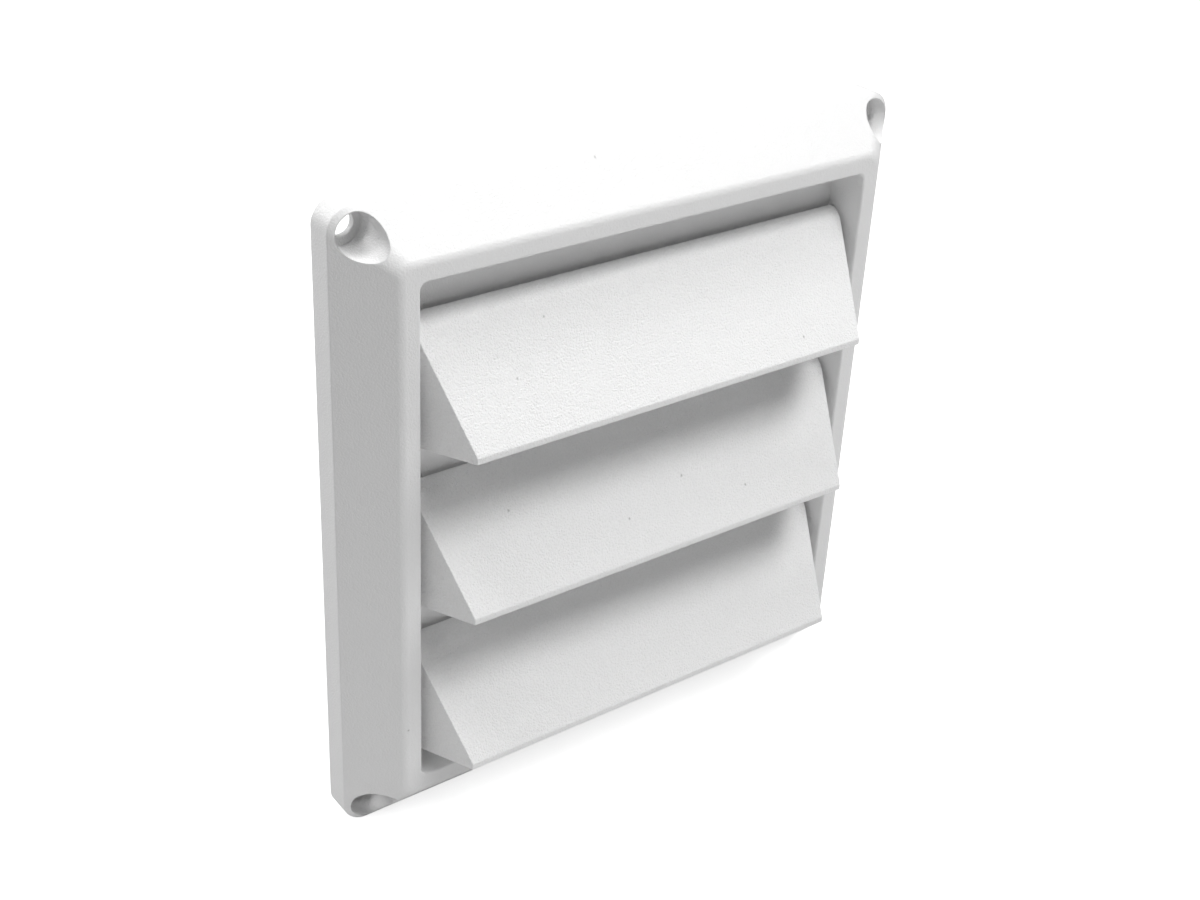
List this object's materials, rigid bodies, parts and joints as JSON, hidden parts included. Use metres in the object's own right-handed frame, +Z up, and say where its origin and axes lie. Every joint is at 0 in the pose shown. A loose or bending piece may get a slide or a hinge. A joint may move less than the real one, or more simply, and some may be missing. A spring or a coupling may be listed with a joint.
{
  "type": "louvred vent hood",
  "caption": "Square white wall vent hood: a moulded frame with a duct collar and gravity louvres that swing open with the air.",
  "frame": {"origin": "centre of the duct collar on the plane of the wall", "axes": "+Y into the wall along the duct, +Z up, +X to the right seen from the front"},
  "size_m": [0.16, 0.0549, 0.1648],
  "materials": {
    "frame_plastic": "white moulded plastic with a fine sandy grain",
    "louvre_plastic": "white moulded plastic with a fine sandy grain"
  },
  "bodies": {
    "frame": {"frame": "frame_plastic"},
    "louvre_top": {"louvre_top": "louvre_plastic"},
    "louvre_middle": {"louvre_middle": "louvre_plastic"},
    "louvre_bottom": {"louvre_bottom": "louvre_plastic"}
  },
  "joints": [
    {"name": "louvre_top_swing", "type": "hinge", "parent": "frame", "child": "louvre_top", "pos_m": [0, -0.0084, 0.05318], "axis": [-1, 0, 0], "range_deg": [0, 60]},
    {"name": "louvre_middle_swing", "type": "hinge", "parent": "frame", "child": "louvre_middle", "pos_m": [0, -0.0084, 0.01047], "axis": [-1, 0, 0], "range_deg": [0, 60]},
    {"name": "louvre_bottom_swing", "type": "hinge", "parent": "frame", "child": "louvre_bottom", "pos_m": [0, -0.0084, -0.03222], "axis": [-1, 0, 0], "range_deg": [0, 60]}
  ]
}
